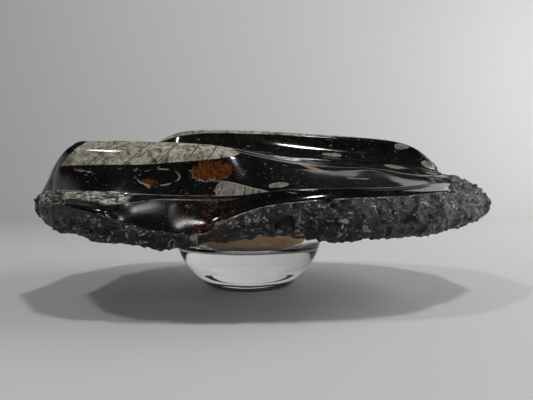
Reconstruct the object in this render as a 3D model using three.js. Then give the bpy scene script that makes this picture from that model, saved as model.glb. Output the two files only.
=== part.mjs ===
// A carved and polished slab of black Orthoceras limestone, resting on a small thick glass dish.
// Millimetres, +Z up, origin at the centre of the dish's foot, the slab's front towards -Y.
//
// The slab is one stone. Its skin is a loft of closed sections, one at each station along X.
// A section runs from the front lip over the top to the back lip, and returns along the underside.
// Named lines (lips, ledges, shoulders and crests) say where each section has its corners.
import * as THREE from 'three';
import { mergeVertices } from 'three/addons/utils/BufferGeometryUtils.js';

// ---------- driving dimensions ----------

const SLAB_LEFT = -111;
const SLAB_RIGHT = 138;
const STATIONS = 44;          // sections along the slab
const END_STATIONS = 3;       // sections that round off each broken end
const LEFT_END_HEIGHT = 48.5; // the height at which each end stands out the furthest
const RIGHT_END_HEIGHT = 54.5;
const END_BULGE = 4;          // how far a broken end stands out past its last full section
const UNDERSIDE_STEPS = 20;   // points across the underside

const RIM_HEIGHT = 37.4;      // the dish's rim, which carries the slab
const WALL = 3.4;             // glass thickness at the rim
const GLASS_FLOOR = 25.5;     // height of the dish's shallow hollow above the table
const HOLLOW_RADIUS = 45;     // the hollow's side, and the rounding at its foot
const HOLLOW_CORNER = 6.5;
const DISH_SEGMENTS = 44;
// [height, radius] of the outside of the glass: the foot's edge, the crease above it, the side up to the rim.
const DISH_OUTSIDE = [[0, 26.8], [0.9, 28], [2.8, 30.2], [5, 31], [6.8, 33.7], [9, 36], [11.6, 38.2],
  [14, 40.2], [17, 42.2], [22, 44.9], [27, 46.7], [32, 48.1], [35.7, 49]];

const SEAT_GAP = 0.3;         // free height between the rim and the stone's lowest seat point
const SEAT_RADIUS = 56;       // inside this circle the underside is the level seat
const SEAT_BLEND = 74;        // outside this circle it follows the lips
const HUMP_DEPTH = 11.4;      // the underside's natural hump, which sits in the dish's hollow
const HUMP_CENTRE_X = 1;
const HUMP_CORE = 30;
const HUMP_RADIUS = 42;

// The cut facet at the slab's left end: a point on it, its rise per mm of x and of y, its corner's
// rounding, and the height of its foot.
const LEFT_FACET = { x: -88.7, y: -50, z: 85.5, riseX: 1.22, riseY: -0.15, round: 4, floor: 59 };

// The bumps of broken stone: how wide and tall each is, and how far it stands out.
const COARSE_BUMP = { width: 13, tall: 9, out: 1.3 };
const FINE_BUMP = { width: 6, tall: 5, out: 0.7 };
const UPWARD_SHARE = 0.6;     // how far a bump moves the skin upward, against how far outward

// ---------- the slab's lines, front to back ----------
// knots: [x, y, z]. steps: how many pieces the stretch to the next line has.
// bow: [x, mm] knots of how far that stretch bulges out (+) or is scooped in (-).
// rough: size of the broken surface's bumps along the line.

const LINES = [
  {
    name: 'front lip', steps: 2, rough: 1, bow: [[0, 1.5]],
    knots: [[-110, -43, 46], [-99, -60, 42.5], [-78, -77, 39.5], [-52, -84, 36.5], [-34, -87, 33.5],
      [-22, -87, 35.5], [-11, -87, 38.5], [20, -86, 40], [48, -82, 36.7], [62, -80, 39], [91, -71, 39.5],
      [109, -58, 41.5], [128, -42, 44], [139, -29, 48]],
  },
  {
    name: 'front belly', steps: 2, rough: 1, bow: [[0, 1]],
    knots: [[-110, -47, 49.5], [-99, -65, 48], [-78, -83, 45], [-52, -89, 41], [-34, -91.5, 38.5],
      [-16, -92, 39.3], [0, -92, 44], [20, -91, 46.5], [48, -88, 45], [91, -76, 48], [109, -63, 50],
      [128, -46, 51], [139, -33, 51.5]],
  },
  {
    name: 'ledge', steps: 5, rough: 0.6,
    bow: [[-92, 0], [-70, -3], [-57, -1], [-47, 0.8], [-34, 0.8], [-24, -2], [-12, -4], [0, -4], [40, -3],
      [90, -2], [125, 0]],
    knots: [[-110, -48, 53], [-95, -69, 54], [-66, -85, 50.5], [-52, -88, 46.5], [-38, -90, 43.5],
      [-16, -91.5, 41.5], [-10, -91.5, 45], [-3, -91, 49], [14, -90, 54], [38, -88, 56.5], [76, -76, 58],
      [98, -64, 59.5], [120, -50, 59.5], [139, -34, 56]],
  },
  {
    name: 'brow', steps: 1, rough: 0.3, bow: [[-90, 0.5]],
    knots: [[-110, -48, 56], [-95, -69, 57], [-80, -78, 57], [-59, -82, 54.2], [-36, -82, 56.4],
      [-10, -81, 56.2], [13, -79, 59.2], [43, -76, 60.6], [67, -70, 60.8], [89, -62, 62.5],
      [112, -50, 64.2], [130, -38, 62.5], [139, -32, 58.5]],
  },
  {
    name: 'front edge', steps: 3, rough: 0, bow: [[-90, 0.6], [-20, -1], [40, 0.6], [90, -0.8]],
    knots: [[-110, -48, 59], [-92, -66, 60.7], [-59, -74, 59.4], [-24, -76, 58], [1, -77, 58.6],
      [27, -76, 61.2], [67, -69, 61.9], [112, -49, 65], [130, -36, 63.8], [139, -30, 59.4]],
  },
  {
    name: 'ridge A foot', steps: 3, rough: 0, bow: [[-90, 1.2], [-20, 1], [5, 0.6], [50, 0.6],
      [100, 0.8]],
    knots: [[-110, -47, 61], [-92, -62, 73.2], [-57, -66, 73.3], [-36, -66, 73.4], [-25, -65, 74.5],
      [-6, -62, 77], [6, -59.5, 75], [24, -53, 73], [40, -46, 72.3], [58, -40.5, 72.4], [69, -38, 73],
      [88, -42, 69.8], [108, -42, 68.4], [120, -37, 67.8], [131, -31, 65], [139, -27, 60]],
  },
  {
    name: 'ridge A shoulder', steps: 2, rough: 0, bow: [[-90, 0.8], [10, 0.3], [60, -0.4], [110, -0.6]],
    knots: [[-110, -43, 61.5], [-88, -57, 84.6], [-41, -58, 84.4], [-20, -57, 83.7], [-6, -55, 82],
      [6, -51.5, 79.6], [24, -44, 76.8], [40, -37, 75.6], [58, -31, 75.4], [75, -28, 74.8],
      [100, -27, 70.8], [120, -27, 69], [131, -26, 66.5], [139, -24, 60.4]],
  },
  {
    name: 'ridge A crest', steps: 2, rough: 0, bow: [[-90, 0.8], [10, 0.3], [60, 0], [110, 0]],
    knots: [[-110, -38, 62], [-89, -50, 87], [-70, -50, 87.2], [-42, -50, 86.2], [-20, -49, 85],
      [-6, -46, 83.6], [6, -41, 82], [24, -33, 79.8], [40, -27, 79], [58, -23, 78.2], [75, -21, 77.4],
      [100, -20.5, 73.2], [120, -21, 70], [131, -21, 67.5], [139, -20, 60.6]],
  },
  {
    name: 'ridge A back', steps: 3, rough: 0, bow: [[-90, -1.5], [-20, -1.2], [20, 0]],
    knots: [[-110, -32, 62], [-89, -35, 84.2], [-42, -37, 83.6], [-20, -37, 83.2], [-6, -34, 83.6],
      [6, -27.5, 83.8], [24, -23, 82], [40, -19.5, 81.2], [58, -17.5, 80], [75, -16.5, 79],
      [100, -16.5, 75.4], [120, -17.5, 70.6], [131, -17, 68], [139, -17, 60.7]],
  },
  {
    name: 'valley AB', steps: 2, rough: 0, bow: [[-90, -1], [-20, -0.5], [20, 0]],
    knots: [[-110, -26, 62], [-89, -20, 75], [-42, -21, 77], [-20, -20, 81.5], [-6, -16, 84.8],
      [12, -13, 85], [35, -12.5, 83.4], [58, -12.6, 81.3], [81, -13, 79.4], [103, -13.6, 76.5],
      [120, -14.6, 71.6], [131, -13, 68.5], [139, -14, 60.8]],
  },
  {
    name: 'ridge B foot', steps: 4, rough: 0, bow: [[-70, -1], [-20, -1.5], [40, -4], [100, -4.5],
      [122, -2]],
    knots: [[-110, -19, 62], [-89, -10, 74], [-63, -6, 79], [-42, -7, 83], [-12, -9, 87.4],
      [15, -10, 85.6], [58, -10, 81.9], [81, -11, 80], [103, -11.6, 77.2], [120, -11, 72.6],
      [131, -9, 69], [139, -12, 60.8]],
  },
  {
    name: 'ridge B shoulder', steps: 2, rough: 0, bow: [[0, 0.7]],
    knots: [[-110, -12, 62], [-89, -2, 75], [-70, 3, 85.5], [-57, 5, 93.8], [-47, 4, 97.4],
      [-25, 4, 99.9],
      [15, 4, 99.2], [55, 4, 97], [88, 4, 94], [105, 4, 91], [113, 3, 87.5], [120, 1, 81],
      [127, -2, 72.5], [132, -4, 68], [139, -8, 60.8]],
  },
  {
    name: 'ridge B crest', steps: 2, rough: 0, bow: [[0, 0.6]],
    knots: [[-110, -5, 62], [-89, 5, 76], [-72, 9, 88], [-60, 10, 96.4], [-48, 10, 101.6], [-36, 10, 103],
      [-10, 10, 102.8], [35, 10, 100.6], [82, 10, 97.4], [95, 10, 95.8], [105, 10, 93.6], [113, 10, 90],
      [120, 9, 84.4], [127, 6, 76], [132, 3, 69.5], [139, -4, 60.6]],
  },
  {
    name: 'ridge B back', steps: 4, rough: 0, bow: [[-60, -3], [0, -5], [80, -4], [120, -1]],
    knots: [[-110, 2, 61], [-89, 13.8, 76], [-65, 17.7, 90.5], [-48, 19.2, 99.2], [-10, 20, 100.4],
      [35, 21.6, 98],
      [82, 22.3, 93.6], [100, 20.8, 89.6], [113, 17.7, 83], [122, 14.6, 76], [131, 9, 67.5],
      [139, 0, 60.2]],
  },
  {
    name: 'valley BC', steps: 3, rough: 0, bow: [[-60, -1], [80, -1]],
    knots: [[-110, 8, 60], [-95, 20.8, 73], [-63, 27.7, 80], [-10, 33.1, 82], [35, 36.2, 82.5],
      [82, 35.4, 79], [115, 29.2, 72.4], [129, 16.9, 66.5], [139, 4, 59.8]],
  },
  {
    name: 'ridge C shoulder', steps: 2, rough: 0, bow: [[0, 0.8]],
    knots: [[-110, 11.5, 59], [-95, 26.9, 75.5], [-63, 36.2, 90], [-20, 41.6, 92.5], [20, 45.4, 89],
      [55, 47, 84], [82, 43.9, 78], [115, 33.9, 71], [129, 20.8, 65.4], [139, 7, 59.2]],
  },
  {
    name: 'ridge C crest', steps: 2, rough: 0, bow: [[0, 0.8]],
    knots: [[-110, 13.8, 58], [-95, 31.6, 77], [-63, 43.1, 92.6], [-20, 49.3, 94.6], [20, 52.4, 90.6],
      [55, 52.4, 85], [82, 47.7, 78.4], [115, 37, 70.4], [129, 23.9, 64.6], [139, 9, 58.6]],
  },
  {
    name: 'ridge C back', steps: 3, rough: 0, bow: [[-60, 1], [60, 0.6]],
    knots: [[-110, 15.4, 57], [-95, 36.2, 73], [-63, 51.6, 87.4], [-20, 58.5, 88.6], [20, 59.3, 84.6],
      [55, 57.7, 79.6], [82, 52.4, 74.4], [115, 40, 67.6], [129, 26.2, 63], [139, 10.8, 57.8]],
  },
  {
    name: 'back edge', steps: 2, rough: 0.5, bow: [[0, 1.2]],
    knots: [[-110, 16.9, 55], [-95, 40, 61], [-63, 57.7, 64], [-20, 66.2, 66], [20, 67, 63],
      [55, 63.1, 62], [82, 57, 62.5], [115, 43.1, 60], [129, 28.5, 58.5], [139, 12.3, 56]],
  },
  {
    name: 'back belly', steps: 2, rough: 1.2, bow: [[0, 1.5]],
    knots: [[-110, 17.7, 51], [-95, 43.1, 50], [-63, 61.6, 52], [-20, 70.1, 51], [20, 70.8, 52],
      [55, 67, 50], [82, 60.8, 51], [115, 46.2, 52], [129, 30.8, 52], [139, 13.8, 52.5]],
  },
  {
    name: 'back lip', steps: 0, rough: 1, bow: [[0, 0]],
    knots: [[-110, 14.6, 47.5], [-95, 39.3, 43.5], [-63, 57, 41], [-20, 65.4, 40], [20, 66.2, 39.6],
      [55, 62.4, 41], [82, 56.2, 42], [115, 41.6, 44], [129, 26.2, 46], [139, 10, 49]],
  },
];

// ---------- small mathematics ----------

const mix = (a, b, t) => a + (b - a) * t;
const clamp01 = (t) => Math.min(1, Math.max(0, t));

function smoothStep(from, to, v) {
  const t = clamp01((v - from) / (to - from));
  return t * t * (3 - 2 * t);
}

// The lower of a and b, with the corner between them rounded over about k.
function softMin(a, b, k) {
  const h = clamp01(0.5 + (0.5 * (b - a)) / k);
  return mix(b, a, h) - k * h * (1 - h);
}

// Column `column` of the knots at x, along a cubic that never overshoots them.
function along(knots, column, x) {
  const last = knots.length - 1;
  if (x <= knots[0][0]) return knots[0][column];
  if (x >= knots[last][0]) return knots[last][column];
  const slope = (i) => (knots[i + 1][column] - knots[i][column]) / (knots[i + 1][0] - knots[i][0]);
  const tangent = (i) => {
    if (i === 0) return slope(0);
    if (i === last) return slope(last - 1);
    const [a, b] = [slope(i - 1), slope(i)];
    return a * b <= 0 ? 0 : (2 * a * b) / (a + b);
  };
  let i = 0;
  while (x > knots[i + 1][0]) i += 1;
  const width = knots[i + 1][0] - knots[i][0];
  const t = (x - knots[i][0]) / width;
  const [p, q] = [knots[i][column], knots[i + 1][column]];
  const [m, n] = [tangent(i) * width, tangent(i + 1) * width];
  return p + t * m + t * t * (3 * (q - p) - 2 * m - n) + t * t * t * (2 * (p - q) + m + n);
}

// Smooth noise from -1 to 1 on a lattice of unit cells.
function noise(x, y, z) {
  const corner = (i, j, k) => {
    let h = (Math.imul(i, 374761393) + Math.imul(j, 668265263) + Math.imul(k, 2147483647)) | 0;
    h = Math.imul(h ^ (h >>> 13), 1274126177);
    return (((h ^ (h >>> 16)) >>> 0) / 4294967295) * 2 - 1;
  };
  const [i, j, k] = [x, y, z].map(Math.floor);
  const [u, v, w] = [smoothStep(0, 1, x - i), smoothStep(0, 1, y - j), smoothStep(0, 1, z - k)];
  const row = (jj, kk) => mix(corner(i, jj, kk), corner(i + 1, jj, kk), u);
  return mix(mix(row(j, k), row(j + 1, k), v), mix(row(j, k + 1), row(j + 1, k + 1), v), w);
}

// ---------- the slab ----------

// The height left at (x, y) once the end facet is cut. The facet stops above the broken end.
function cutByFacet(x, y, z) {
  const { riseX, riseY, round, floor } = LEFT_FACET;
  const facet = LEFT_FACET.z + riseX * (x - LEFT_FACET.x) + riseY * (y - LEFT_FACET.y);
  return Math.max(softMin(z, facet, round), Math.min(z, floor));
}

// Moves a surface point [x, y, z] by the broken stone's bumps.
function broken([x, y, z], size) {
  const [a, b] = [COARSE_BUMP, FINE_BUMP];
  const bumps = (shift) => noise(x / a.width + shift, y / a.width, z / a.tall) * a.out
    + noise(x / b.width, y / b.width + shift, z / b.tall) * b.out;
  return [x, y + bumps(3) * size, z + bumps(17) * size * UPWARD_SHARE];
}

// The stretch of section from one line to the next, without its last point.
function stretch(x, line, next) {
  const from = [1, 2].map((c) => along(line.knots, c, x));
  const to = [1, 2].map((c) => along(next.knots, c, x));
  const bow = line.bow.length > 1 ? along(line.bow, 1, x) : line.bow[0][1];
  const length = Math.hypot(to[0] - from[0], to[1] - from[1]) || 1;
  const out = [-(to[1] - from[1]) / length, (to[0] - from[0]) / length];
  return Array.from({ length: line.steps }, (_, i) => {
    const t = i / line.steps;
    const lift = 4 * t * (1 - t) * Math.sign(bow) * Math.min(Math.abs(bow), length * 0.3);
    const y = mix(from[0], to[0], t) + out[0] * lift;
    const z = mix(from[1], to[1], t) + out[1] * lift;
    return broken([x, y, cutByFacet(x, y, z)], mix(line.rough, next.rough, t));
  });
}

// Height of the underside at (x, y), between lips of the given heights at share t across.
function undersideHeight(x, y, t, frontZ, backZ) {
  const radius = Math.hypot(x, y);
  const bumps = noise(x / 11, y / 11, 5);
  const seat = RIM_HEIGHT + SEAT_GAP + 0.7 * (1 + bumps);
  const natural = mix(frontZ, backZ, t) + 1.2 * bumps;
  const hump = 1 - smoothStep(HUMP_CORE, HUMP_RADIUS, Math.hypot(x - HUMP_CENTRE_X, y));
  return mix(seat, natural, smoothStep(SEAT_RADIUS, SEAT_BLEND, radius)) - HUMP_DEPTH * hump;
}

function underside(x) {
  const [front, back] = [LINES[0].knots, LINES.at(-1).knots];
  const [frontY, frontZ] = broken([x, along(front, 1, x), along(front, 2, x)], 1).slice(1);
  const [backY, backZ] = broken([x, along(back, 1, x), along(back, 2, x)], 1).slice(1);
  return Array.from({ length: UNDERSIDE_STEPS }, (_, i) => {
    const t = i / UNDERSIDE_STEPS;
    const y = mix(backY, frontY, t);
    const edge = Math.min(1, 8 * Math.min(t, 1 - t));
    const flat = mix(backZ, frontZ, t);
    return [x, y, mix(flat, undersideHeight(x, y, 1 - t, frontZ, backZ), edge)];
  });
}

// One closed section: the top from front to back, then the underside from back to front.
const section = (x) => [...LINES.slice(0, -1).flatMap((line, i) => stretch(x, line, LINES[i + 1])),
  ...underside(x)];

// Sections past a full one, each lower and further out, which round off a broken end at `height`.
function endSections(loop, outward, height) {
  const centre = loop.reduce((sum, p) => sum + p[1], 0) / loop.length;
  return Array.from({ length: END_STATIONS }, (_, i) => {
    const angle = ((i + 1) / END_STATIONS) * 1.15;
    const shrink = Math.cos(angle);
    return loop.map(([x, y, z]) => [
      x + outward * END_BULGE * Math.sin(angle) + 0.8 * noise(y / 7, z / 5, i),
      mix(centre, y, mix(0.8, 1, shrink)),
      mix(height, z, shrink),
    ]);
  });
}

// A closed geometry over a row of equal loops, with a fan of triangles over each end.
function loft(loops) {
  const points = loops[0].length;
  const positions = loops.flat(2);
  const index = [];
  for (let i = 0; i < loops.length - 1; i += 1) {
    for (let j = 0; j < points; j += 1) {
      const a = i * points + j;
      const b = i * points + ((j + 1) % points);
      index.push(a, a + points, b, b, a + points, b + points);
    }
  }
  const lastStart = (loops.length - 1) * points;
  const middles = [loops[0], loops.at(-1)].map((loop) =>
    [0, 1, 2].map((c) => loop.reduce((sum, p) => sum + p[c], 0) / points));
  positions.push(...middles.flat());
  const first = loops.length * points;
  for (let j = 0; j < points; j += 1) {
    const k = (j + 1) % points;
    index.push(j, k, first);
    index.push(lastStart + k, lastStart + j, first + 1);
  }
  const geometry = new THREE.BufferGeometry();
  geometry.setAttribute('position', new THREE.Float32BufferAttribute(positions, 3));
  geometry.setIndex(index);
  return mergeVertices(geometry, 1e-4);
}

function slabGeometry() {
  const loops = Array.from({ length: STATIONS }, (_, i) =>
    section(mix(SLAB_LEFT, SLAB_RIGHT, i / (STATIONS - 1))));
  const geometry = loft([
    ...endSections(loops[0], -1, LEFT_END_HEIGHT).reverse(),
    ...loops,
    ...endSections(loops.at(-1), 1, RIGHT_END_HEIGHT),
  ]);
  geometry.computeVertexNormals();
  return geometry;
}

// ---------- the glass dish: nearly solid, with a shallow hollow in its top ----------

// Half of the dish's outline, from the axis under the foot, out, over the rim and back to the axis.
function dishProfile() {
  const rimRadius = DISH_OUTSIDE.at(-1)[1];
  const rimRound = WALL / 2;
  const rimCentre = RIM_HEIGHT - rimRound;
  const arc = (steps, shape) => Array.from({ length: steps }, (_, i) => shape((i + 1) / steps));
  return [
    [0, 0],
    ...DISH_OUTSIDE.map(([height, radius]) => [radius, height]),
    ...arc(5, (t) => [
      rimRadius - rimRound + rimRound * Math.cos(Math.PI * t),
      rimCentre + rimRound * Math.sin(Math.PI * t),
    ]),
    ...arc(7, (t) => [
      HOLLOW_RADIUS - HOLLOW_CORNER + HOLLOW_CORNER * Math.cos((Math.PI / 2) * t),
      GLASS_FLOOR + HOLLOW_CORNER - HOLLOW_CORNER * Math.sin((Math.PI / 2) * t),
    ]),
    [0, GLASS_FLOOR],
  ];
}

// LatheGeometry turns the outline about Y, so it is stood up onto +Z.
function dishGeometry() {
  const outline = dishProfile().map(([radius, height]) => new THREE.Vector2(radius, height));
  return new THREE.LatheGeometry(outline, DISH_SEGMENTS).rotateX(Math.PI / 2);
}

// ---------- the object ----------

const stone = new THREE.MeshStandardMaterial({ color: 0x17171a, roughness: 0.25, metalness: 0 });
const glass = new THREE.MeshStandardMaterial({
  color: 0xf2f6f4, roughness: 0.03, metalness: 0, transparent: true, opacity: 0.3,
});

function part(name, geometry, material) {
  const mesh = new THREE.Mesh(geometry, material);
  mesh.name = name;
  return mesh;
}

const object = new THREE.Group();
object.add(part('glass_dish', dishGeometry(), glass));
object.add(part('orthoceras_slab', slabGeometry(), stone));

export default object;
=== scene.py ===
import math

import bpy
import numpy as np
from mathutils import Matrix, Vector


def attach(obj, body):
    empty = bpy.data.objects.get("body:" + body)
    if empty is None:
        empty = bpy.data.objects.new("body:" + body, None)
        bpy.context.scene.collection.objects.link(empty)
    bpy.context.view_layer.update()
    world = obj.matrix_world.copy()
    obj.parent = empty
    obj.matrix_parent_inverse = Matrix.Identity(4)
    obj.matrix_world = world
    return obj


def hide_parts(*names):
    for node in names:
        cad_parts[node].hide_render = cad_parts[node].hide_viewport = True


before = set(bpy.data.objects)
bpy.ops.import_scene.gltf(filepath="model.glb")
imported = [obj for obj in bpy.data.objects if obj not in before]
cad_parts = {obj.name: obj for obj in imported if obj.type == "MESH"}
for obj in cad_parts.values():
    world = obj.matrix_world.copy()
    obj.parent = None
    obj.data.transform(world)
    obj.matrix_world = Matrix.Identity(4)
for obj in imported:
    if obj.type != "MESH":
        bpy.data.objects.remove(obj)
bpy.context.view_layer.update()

MM = 0.001

# ----------------------
# Camera: level with the stone's front edge, close, and looking along +Y.
# ----------------------

CAMERA_PLACE = (0.0116, -0.265, 0.058)
CAMERA_TILT_DEG = 89.43
CAMERA_LENS = 27.0

camera_data = bpy.data.cameras.new("camera")
camera_data.lens = CAMERA_LENS
camera_data.sensor_width = 36.0
camera_data.clip_start = 0.01
camera = bpy.data.objects.new("camera", camera_data)
camera.location = CAMERA_PLACE
camera.rotation_euler = (math.radians(CAMERA_TILT_DEG), 0.0, 0.0)
bpy.context.scene.collection.objects.link(camera)
bpy.context.scene.camera = camera

# ----------------------
# Small mathematics on arrays.
# ----------------------


def smooth_step(low, high, value):
    t = np.clip((value - low) / (high - low), 0.0, 1.0)
    return t * t * (3.0 - 2.0 * t)


def mix(a, b, t):
    return a + (b - a) * t


def soft_min(a, b, k):
    """The lower of a and b, with the corner between them rounded over about k."""
    h = np.clip(0.5 + 0.5 * (b - a) / k, 0.0, 1.0)
    return mix(b, a, h) - k * h * (1.0 - h)


def along(knots, x, column=1):
    """Column of the knots at x, on a cubic that never overshoots them."""
    px = np.array([k[0] for k in knots], float)
    py = np.array([k[column] for k in knots], float)
    if len(px) == 1:
        return np.full(np.shape(x), py[0])
    slope = np.diff(py) / np.diff(px)
    tangent = np.zeros(len(px))
    tangent[0] = slope[0]
    tangent[-1] = slope[-1]
    product = slope[:-1] * slope[1:]
    total = slope[:-1] + slope[1:]
    safe = np.where(np.abs(total) < 1e-9, 1.0, total)
    tangent[1:-1] = np.where(product > 0.0, 2.0 * product / safe, 0.0)
    x = np.clip(x, px[0], px[-1])
    i = np.clip(np.searchsorted(px, x, side="right") - 1, 0, len(px) - 2)
    width = px[i + 1] - px[i]
    t = (x - px[i]) / width
    p, q = py[i], py[i + 1]
    m, n = tangent[i] * width, tangent[i + 1] * width
    return p + t * m + t * t * (3 * (q - p) - 2 * m - n) + t ** 3 * (2 * (p - q) + m + n)


def lattice(i, j, k, seed):
    """A repeatable random value from -1 to 1 for each cell corner."""
    h = (i * 374761393 + j * 668265263 + k * 1440662683 + seed * 974634777) & 0xFFFFFFFF
    h = ((h ^ (h >> 13)) * 1274126177) & 0xFFFFFFFF
    h = (h ^ (h >> 16)) & 0xFFFFFFFF
    return h.astype(float) / 2147483647.5 - 1.0


def noise(points, size, seed):
    """Smooth noise from -1 to 1 at points, with cells of the given size."""
    p = points / size
    base = np.floor(p).astype(np.int64)
    f = p - base
    f = f * f * f * (f * (f * 6.0 - 15.0) + 10.0)
    total = 0.0
    for di in (0, 1):
        for dj in (0, 1):
            for dk in (0, 1):
                w = ((f[..., 0] if di else 1 - f[..., 0]) * (f[..., 1] if dj else 1 - f[..., 1])
                     * (f[..., 2] if dk else 1 - f[..., 2]))
                total = total + w * lattice(base[..., 0] + di, base[..., 1] + dj, base[..., 2] + dk, seed)
    return total


def layered(points, size, octaves, seed):
    """Noise whose octaves each have about half the size and half the weight of the last."""
    total, weight, amount = 0.0, 0.0, 1.0
    for octave in range(octaves):
        total = total + amount * noise(points, size / 2.03 ** octave, seed + octave)
        weight += amount
        amount *= 0.5
    return total / weight


# ----------------------
# The stone's lines, front to back, in millimetres: the same lines as the CAD model's.
# soft: how rounded the section is at the line. bow: how far the stretch to the
# next line bulges (+) or is scooped in (-). rows: how many rows of points it has.
# The rest are marks on that stretch, as [x, amount]. rough: broken, not polished.
# edge: a pale painted highlight line along it. ridge_a: where ridge A's shell may show.
# debris: crowded pale flakes. satin: polished less.
# ----------------------

ROUGH = [[0, 1]]
POLISHED = [[0, 0]]
RIGHT_TIP = [[120, 0], [127, 1]]
NARROW = 0.55  # width of the narrow row on each side of a line, mm
MARKS = ("rough", "edge", "ridge_a", "debris", "satin")  # what the stone's material reads from the mesh

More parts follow.
